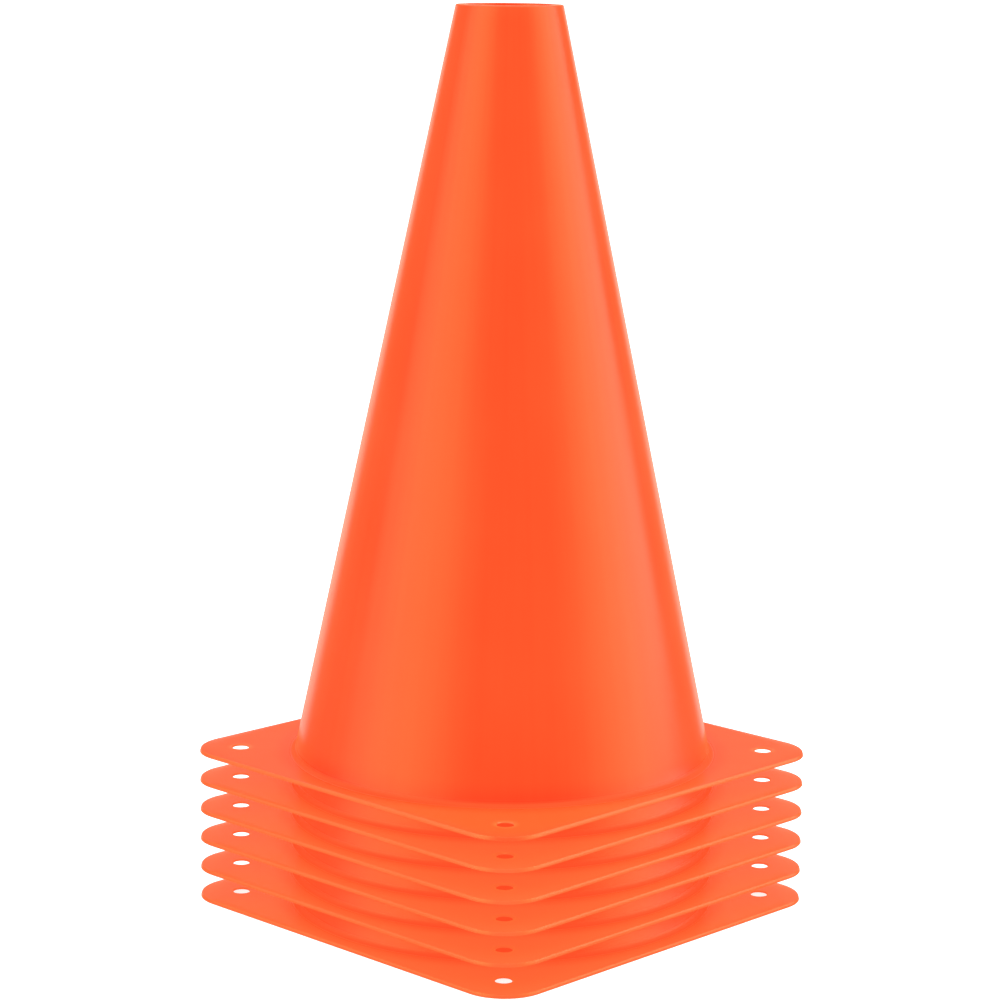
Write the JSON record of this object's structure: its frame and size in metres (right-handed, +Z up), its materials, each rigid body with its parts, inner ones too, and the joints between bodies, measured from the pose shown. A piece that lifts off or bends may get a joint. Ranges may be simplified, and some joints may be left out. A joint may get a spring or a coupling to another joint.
{
  "type": "sports marker cone stack",
  "caption": "Nested stack of thin tapered marker cones, each moulded in one piece with a square base plate with corner holes, and each lifting off the cone below.",
  "frame": {"origin": "centre of the underside of the lowest cone's base plate", "axes": "+Z up along the cones' common axis, X and Y along the sides of the square base plates"},
  "size_m": [0.1412, 0.1412, 0.2769],
  "materials": {
    "orange_plastic": "thin injection-moulded polyethylene, smooth satin gloss, slightly translucent"
  },
  "bodies": {
    "cone_1": {"cone_1": "orange_plastic"},
    "cone_2": {"cone_2": "orange_plastic"},
    "cone_3": {"cone_3": "orange_plastic"},
    "cone_4": {"cone_4": "orange_plastic"},
    "cone_5": {"cone_5": "orange_plastic"},
    "cone_6": {"cone_6": "orange_plastic"}
  },
  "joints": [
    {"name": "cone_2_lift", "type": "slide", "parent": "cone_1", "child": "cone_2", "axis": [0, 0, 1], "range_m": [0, 0.225]},
    {"name": "cone_3_lift", "type": "slide", "parent": "cone_2", "child": "cone_3", "axis": [0, 0, 1], "range_m": [0, 0.225]},
    {"name": "cone_4_lift", "type": "slide", "parent": "cone_3", "child": "cone_4", "axis": [0, 0, 1], "range_m": [0, 0.225]},
    {"name": "cone_5_lift", "type": "slide", "parent": "cone_4", "child": "cone_5", "axis": [0, 0, 1], "range_m": [0, 0.225]},
    {"name": "cone_6_lift", "type": "slide", "parent": "cone_5", "child": "cone_6", "axis": [0, 0, 1], "range_m": [0, 0.225]}
  ]
}
